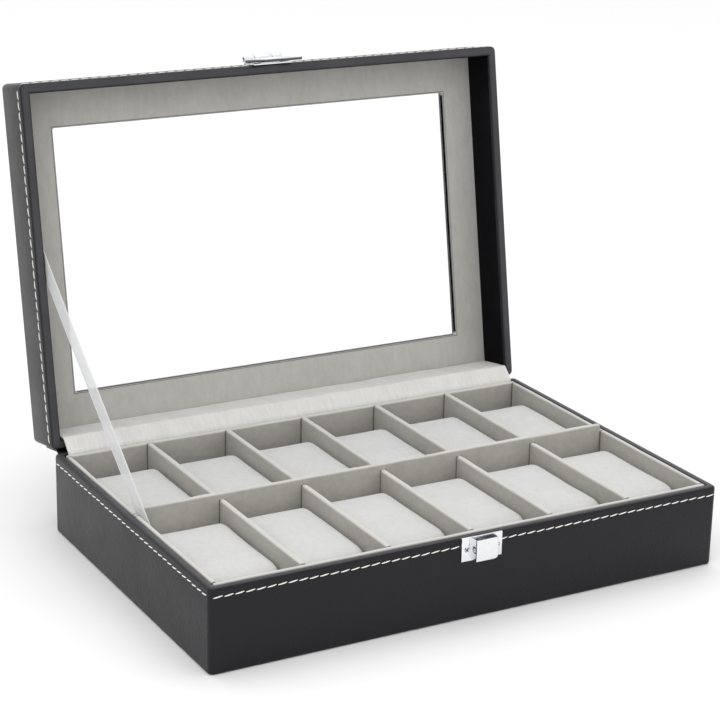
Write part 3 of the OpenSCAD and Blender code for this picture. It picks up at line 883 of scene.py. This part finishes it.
def buildPillows():
    # one is stuffed, and each of the twelve is a slightly different copy of it
    low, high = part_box("pillow_front_1")
    middle = (low + high) / 2
    shape = stuffed(pillowBlank(low, high), "pillowBlank")
    bmesh.ops.translate(shape, vec=-middle, verts=shape.verts)
    for node in [n for n in nodes if n.startswith("pillow_")]:
        low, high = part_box(node)
        middle = (low + high) / 2
        half = (high - low) / 2
        seed = sum(ord(c) for c in node)
        bm = shape.copy()
        for v in bm.verts:
            bulge = softNoise(v.co, pillow["lumps"], seed) - pillow["flattened"]
            v.co += v.co.normalized() * bulge * pillow["variation"]
            v.co.x = max(-half.x, min(half.x, v.co.x))
            v.co.z = max(-half.z, min(half.z + pillow["crown"], v.co.z))
        bmesh.ops.translate(bm, vec=middle, verts=bm.verts)
        row, place = node.split("_")[1:]
        piece = finishPiece(f"{row}Pillow{place}", bm, pillowVelvet, node, [node],
                            None, 80)
    shape.free()


buildPillows()
print("pillows ready")


# ---------- sheets between the tray and the open lid ---
def sheetFromPath(path, width, roundness):
    # a strip across X along a path of (y, z) points, its folds rounded
    bm = bmesh.new()
    corners = [bm.verts.new((-width / 2, y, z)) for y, z in path]
    line = [bm.edges.new(pair) for pair in zip(corners, corners[1:])]
    made = bmesh.ops.extrude_edge_only(bm, edges=line)["geom"]
    bmesh.ops.translate(bm, vec=(width, 0, 0),
                        verts=[g for g in made if isinstance(g, bmesh.types.BMVert)])
    folds = [e for e in bm.edges if len(e.link_faces) == 2]
    soften(bm, folds, roundness, 5)
    return bm


def openPoint(y, z):
    # where a point of the shut lid is once the lid is open
    turned = toOpen @ Vector((0, y, z))
    return turned.y, turned.z


def cutAcross(bm, width, count):
    # cuts a sheet into strips side by side so that it can carry creases
    for i in range(1, count):
        bmesh.ops.bisect_plane(bm, geom=bm.verts[:] + bm.edges[:] + bm.faces[:],
                               plane_co=(width * (i / count - 0.5), 0, 0), plane_no=(1, 0, 0))


def smoothStep(value, low, high):
    t = min(max((value - low) / (high - low), 0.0), 1.0)
    return t * t * (3 - 2 * t)


def thicken(bm, offset):
    # gives a flat sheet its thickness straight along one direction
    grown = bmesh.ops.extrude_face_region(bm, geom=bm.faces[:], use_keep_orig=True)
    verts = [g for g in grown["geom"] if isinstance(g, bmesh.types.BMVert)]
    bmesh.ops.translate(bm, vec=offset, verts=verts)
    bmesh.ops.recalc_face_normals(bm, faces=bm.faces)


flap = {"width": 287.8 * mm, "thickness": 0.7 * mm, "gap": 0.55 * mm, "slot": 9 * mm,
        "slotGap": 0.5 * mm, "roll": 1.3 * mm, "below": 0.4 * mm, "aboveRim": 1.6 * mm,
        "pastRim": 0.6 * mm, "bow": 0.4 * mm, "rise": 1.1 * mm, "lean": 0.1 * mm,
        "strips": 48, "firstCut": 2.0 * mm, "cutStep": 1.2 * mm, "cuts": 4,
        "crease": 0.45 * mm, "freeFrom": 3 * mm, "ripple": 0.8, "rippleScale": 260.0,
        "rippleStretch": 0.25, "sag": 0.5, "sagScale": 30.0, "tighter": 0.002,
        "tightOver": 30 * mm}


def buildFlap():
    # glued to the lid's back wall, over the hinge, and down behind the tray's back lining
    look = flap
    wall = panelHigh.y - lidCover["tuck"] - look["gap"]
    rim = lidLow.z
    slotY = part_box("lining_back")[1].y + look["slotGap"]
    path = [openPoint(wall, panelLow.z - look["below"]), openPoint(wall, rim + look["aboveRim"]),
            openPoint(wall - look["bow"], rim - look["pastRim"]),
            (slotY + look["lean"], trayHigh.z + look["rise"]),
            (slotY, trayHigh.z - look["pastRim"]), (slotY, trayHigh.z - look["slot"])]
    bm = sheetFromPath(path, look["width"], look["roll"])
    cutAcross(bm, look["width"], look["strips"])
    for i in range(look["cuts"]):
        height = trayHigh.z + look["firstCut"] + i * look["cutStep"]
        bmesh.ops.bisect_plane(bm, geom=bm.verts[:] + bm.edges[:] + bm.faces[:],
                               plane_co=(0, 0, height), plane_no=(0, 0, 1))
    bm.normal_update()
    for v in bm.verts:
        free = max(0.0, min(1.0, (v.co.z - trayHigh.z) / look["freeFrom"]))
        stretched = Vector((v.co.x * look["rippleStretch"], v.co.y, v.co.z))
        ripple = softNoise(stretched, look["rippleScale"], 2) * look["ripple"]
        sag = softNoise(v.co, look["sagScale"], 9) * look["sag"]
        v.co += v.normal * free * look["crease"] * (ripple + sag)
        lean = max(0.0, min(1.0, (v.co.y - slotY) / look["tightOver"]))
        v.co.x *= 1.0 - look["tighter"] * (1.0 - lean)
    bmesh.ops.solidify(bm, geom=bm.faces[:], thickness=look["thickness"])
    bmesh.ops.recalc_face_normals(bm, faces=bm.faces)
    piece = finishPiece("velvetFlap", bm, flapVelvet, None, ["hinge_flap"], None, 80)
    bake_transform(piece)


strip = {"width": 294 * mm, "thickness": 0.8 * mm, "gap": 0.5 * mm, "roll": 1.2 * mm,
         "trayFold": 1.4 * mm, "lidFold": 1.6 * mm, "strips": 30}


def buildHingeStrip():
    # down the outside of both back walls
    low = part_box("hinge_strip")[0]
    back = trayHigh.y + strip["gap"]
    rim = lidLow.z
    reach = trayHigh.z - low.z
    path = [(back, low.z), (back, trayHigh.z - strip["trayFold"]),
            openPoint(back, rim + strip["lidFold"]), openPoint(back, rim + reach)]
    bm = sheetFromPath(path, strip["width"], strip["roll"])
    cutAcross(bm, strip["width"], strip["strips"])
    bmesh.ops.solidify(bm, geom=bm.faces[:], thickness=strip["thickness"])
    bmesh.ops.recalc_face_normals(bm, faces=bm.faces)
    piece = finishPiece("leatherHinge", bm, stripLeather, None, ["hinge_strip"],
                        None, 50)
    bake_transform(piece)


def buildRibbon():
    # straight and taut from the tray's left lining to the lid's left wall
    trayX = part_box("lining_left")[1].x + ribbon["gap"]
    lidX = lidLow.x + lidWall + ribbon["gap"]
    free = (ribbonHead - ribbonFoot).length
    along = (ribbonHead - ribbonFoot) / free
    total = free + 2 * ribbon["tab"]
    bm = bmesh.new()
    bmesh.ops.create_grid(bm, x_segments=ribbon["piecesAcross"],
                          y_segments=ribbon["piecesAlong"], size=0.5)
    for v in bm.verts:
        way = (v.co.y + 0.5) * total - ribbon["tab"]
        across = v.co.x * ribbon["width"]
        v.co = ribbonFoot + along * way + ribbonSide * across
        v.co.x = trayX + (lidX - trayX) * smoothStep(way, -ribbon["bend"], free + ribbon["bend"])
    thicken(bm, Vector((1, 0, 0)) * ribbon["thickness"])
    piece = finishPiece("ribbonStay", bm, satinRibbon, None, ["ribbon_stay"], None, 40)
    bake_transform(piece)


buildFlap()
buildHingeStrip()
buildRibbon()
print("flap, hinge strip and ribbon ready")

# ---------- catch and hasp ----------
catch = {"plateEdge": 0.28 * mm, "housingEdge": 0.45 * mm, "housingCorner": 2.2 * mm,
         "sheet": 0.5 * mm}


def buildCatch():
    # the plate, and the sheet-metal housing with its one square lower corner
    bm = softBlock(*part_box("catch_plate"), catch["plateEdge"], 2)
    finishPiece("catchPlate", bm, brightMetal, "tray", ["catch_plate"])
    low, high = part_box("catch_housing")
    bm = block(low, high)
    foot = [e for e in bm.edges if abs(e.verts[0].co.y - e.verts[1].co.y) > near
            and e.verts[0].co.z < low.z + hair]
    left = min(foot, key=lambda e: e.verts[0].co.x)
    soften(bm, [e for e in foot if e is not left], catch["housingCorner"], 5)
    bm.normal_update()
    outline = [e for e in bm.edges if all(abs(v.co.y - low.y) < hair for v in e.verts)
               and min(e.verts[0].co.z, e.verts[1].co.z) < high.z - hair]
    soften(bm, outline, catch["housingEdge"], 3)
    bm.normal_update()
    openings = [f for f in bm.faces if f.normal.z > 0.99 or f.normal.y > 0.99]
    bmesh.ops.delete(bm, geom=openings, context="FACES")
    bmesh.ops.solidify(bm, geom=bm.faces[:], thickness=catch["sheet"])
    bmesh.ops.recalc_face_normals(bm, faces=bm.faces)
    finishPiece("catchHousing", bm, housingMetal, "tray", ["catch_housing"], None, 30)


haspLook = {"edge": 0.35 * mm, "corner": 1.6 * mm, "barrel": 2.0 * mm, "barrelEdge": 0.25 * mm,
            "window": 13.8 * mm, "foot": 2 * mm, "windowTop": 16.4 * mm, "thickness": 2 * mm,
            "knuckle": 10.8 * mm, "shoulder": 9.5 * mm, "neckLap": 1 * mm, "gap": 0.25 * mm,
            "web": 0.6, "webEdge": 0.15 * mm}
pinLow, pinHigh = shutBox("hasp_pin")
haspPin = (pinLow + pinHigh) / 2


def barrel(low, high):
    # one knuckle round the hasp's pin, from low to high along it
    radius = haspLook["barrel"]
    bm = bmesh.new()
    bmesh.ops.create_cone(bm, cap_ends=True, segments=28, radius1=radius, radius2=radius,
                          depth=high - low)
    bmesh.ops.rotate(bm, matrix=Matrix.Rotation(math.radians(90), 3, "Y"), verts=bm.verts)
    bmesh.ops.translate(bm, vec=((low + high) / 2, haspPin.y, haspPin.z), verts=bm.verts)
    ends = [e for e in bm.edges if len(e.link_faces) == 2
            and sum(abs(f.normal.x) > 0.9 for f in e.link_faces) == 1]
    soften(bm, ends, haspLook["barrelEdge"], 2)
    return bm


def buildHasp():
    # modelled shut: a plate with a window, a narrow neck and the middle knuckle
    look = haspLook
    middle = haspPin.x
    low, high = shutBox("hasp")
    inner = haspPin.y + look["barrel"]
    shoulder = lidLow.z + look["shoulder"]
    plateLow = Vector((low.x, inner - look["thickness"], low.z))
    plateHigh = Vector((high.x, inner, shoulder))
    bm = block(plateLow, plateHigh)
    bm.normal_update()
    front = facesToward(bm, Vector((0, -1, 0)), -plateLow.y)[0]
    back = facesToward(bm, Vector((0, 1, 0)), plateHigh.y)[0]
    for face in (front, back):
        bmesh.ops.inset_region(bm, faces=[face], thickness=near)
        centre = face.calc_center_median()
        for v in face.verts:
            v.co.x = middle + math.copysign(look["window"] / 2, v.co.x - centre.x)
            above = look["windowTop"] if v.co.z > centre.z else 0.0
            v.co.z = low.z + look["foot"] + above
    joinRings(bm, front, back)
    outline = [e for e in bm.edges if abs(e.verts[0].co.y - e.verts[1].co.y) > near
               and abs(abs(e.verts[0].co.x - middle) - (high.x - low.x) / 2) < 10 * hair]
    soften(bm, outline, look["corner"], 4)
    bm.normal_update()
    rims = [e for e in bm.edges if len(e.link_faces) == 2 and e.calc_face_angle(0) > 0.8
            and abs(e.verts[0].co.y - e.verts[1].co.y) < hair]
    soften(bm, rims, look["edge"], 3)
    neckLow = Vector((middle - look["knuckle"] / 2, inner - look["thickness"],
                      shoulder - look["neckLap"]))
    neckHigh = Vector((middle + look["knuckle"] / 2, inner, haspPin.z))
    addInto(bm, softBlock(neckLow, neckHigh, look["edge"], 2))
    addInto(bm, barrel(neckLow.x, neckHigh.x))
    bmesh.ops.recalc_face_normals(bm, faces=bm.faces)
    finishPiece("haspFrame", bm, haspMetal, "hasp", ["hasp"], toOpen, 30)


def buildHaspPlate():
    # the plate nailed to the lid, with the two outer knuckles on their webs
    look = haspLook
    low, high = shutBox("hasp_plate")
    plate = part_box("catch_plate")
    top = lidLow.z + (plate[1].z - plate[0].z)
    front = trayLow.y - (plate[1].y - plate[0].y)
    bm = softBlock(Vector((low.x, front, low.z)), Vector((high.x, trayLow.y, top)),
                   catch["plateEdge"], 2)
    webLow = haspPin.z - look["barrel"]
    webHigh = webLow + look["barrel"] * look["web"]
    for side in (-1, 1):
        start, end = sorted((haspPin.x + side * (look["knuckle"] / 2 + look["gap"]),
                             haspPin.x + side * (high.x - low.x) / 2))
        addInto(bm, barrel(start, end))
        addInto(bm, softBlock(Vector((start, haspPin.y, webLow)),
                              Vector((end, trayLow.y, webHigh)), look["webEdge"], 2))
    bmesh.ops.recalc_face_normals(bm, faces=bm.faces)
    finishPiece("haspPlate", bm, brightMetal, "lid", ["hasp_plate"], toOpen, 30)


buildCatch()
buildHasp()
buildHaspPlate()
print("catch and hasp ready")

# ---------- finishes of the nodes that stay ----------
keptFinishes = {
    fibreboard: ["floor_board", "tray_front_board", "tray_back_board", "tray_left_board",
                 "tray_right_board", "lid_front_board", "lid_back_board", "lid_left_board",
                 "lid_right_board", "lid_top_board", "glass_spacer"],
    blackFelt: ["bottom_sheet"],
    windowGlass: ["glass_pane"],
    brightMetal: ["catch_balls", "catch_spring", "hasp_pin"],
    catchNailMetal: ["catch_nails"],
    haspNailMetal: ["hasp_nails"],
}
for material, kept in keptFinishes.items():
    for node in kept:
        nodes[node].data.materials.clear()
        nodes[node].data.materials.append(material)
print("kept nodes finished")


# ---------- floor, light and camera ----------
studio = {"floor": 6.0, "world": 1.0, "key": 9.0, "keySize": 1.6, "keyPlace": (-1.3, -1.1, 1.7),
          "top": 6.0, "topSize": 1.4, "topPlace": (0.3, 0.3, 1.8)}


def buildFloor():
    bm = bmesh.new()
    bmesh.ops.create_grid(bm, x_segments=2, y_segments=2, size=studio["floor"] / 2)
    finish = Finish("paleFloor", Specular_IOR_Level=0.1)
    spot = finish.place()
    patches = finish.cloud(spot, 3.0)
    finish.paint(Base_Color=finish.blendColours((0.93, 0.93, 0.93), (0.91, 0.91, 0.91), patches),
                 Roughness=0.8 + patches * 0.1)
    mesh = bpy.data.meshes.new("floor")
    bm.to_mesh(mesh)
    bm.free()
    mesh.materials.append(finish.material)
    floor = bpy.data.objects.new("floor", mesh)
    bpy.context.scene.collection.objects.link(floor)


def softLight(name, power, size, place, target=(0, 0, 0.08)):
    data = bpy.data.lights.new(name, "AREA")
    data.energy = power
    data.size = size
    lamp = bpy.data.objects.new(name, data)
    lamp.location = place
    lamp.rotation_euler = (Vector(target) - Vector(place)).to_track_quat("-Z", "Y").to_euler()
    bpy.context.scene.collection.objects.link(lamp)


def buildStudio():
    world = bpy.data.worlds.new("studio")
    world.use_nodes = True
    background = world.node_tree.nodes["Background"]
    background.inputs["Color"].default_value = (1.0, 1.0, 1.0, 1.0)
    background.inputs["Strength"].default_value = studio["world"]
    bpy.context.scene.world = world
    bpy.context.scene.view_settings.view_transform = "Standard"
    softLight("keyLight", studio["key"], studio["keySize"], studio["keyPlace"])
    softLight("topLight", studio["top"], studio["topSize"], studio["topPlace"])


view = {"target": (0.0, 0.02676, 0.1), "azimuth": -29.328, "elevation": 18.394,
        "distance": 1.17065, "roll": 1.215, "lens": 107.54}


def buildCamera():
    azimuth = math.radians(view["azimuth"])
    elevation = math.radians(view["elevation"])
    roll = math.radians(view["roll"])
    back = Vector((math.sin(azimuth) * math.cos(elevation),
                   -math.cos(azimuth) * math.cos(elevation), math.sin(elevation)))
    right = Vector((0, 0, 1)).cross(back).normalized()
    up = back.cross(right)
    tiltedRight = right * math.cos(roll) + up * math.sin(roll)
    tiltedUp = up * math.cos(roll) - right * math.sin(roll)
    data = bpy.data.cameras.new("camera")
    data.lens = view["lens"]
    data.sensor_width = 36.0
    camera = bpy.data.objects.new("camera", data)
    spot = Vector(view["target"]) + back * view["distance"]
    columns = Matrix((tiltedRight, tiltedUp, back)).transposed().to_4x4()
    camera.matrix_world = Matrix.Translation(spot) @ columns
    bpy.context.scene.collection.objects.link(camera)
    bpy.context.scene.camera = camera


buildFloor()
buildStudio()
buildCamera()
print("studio ready")
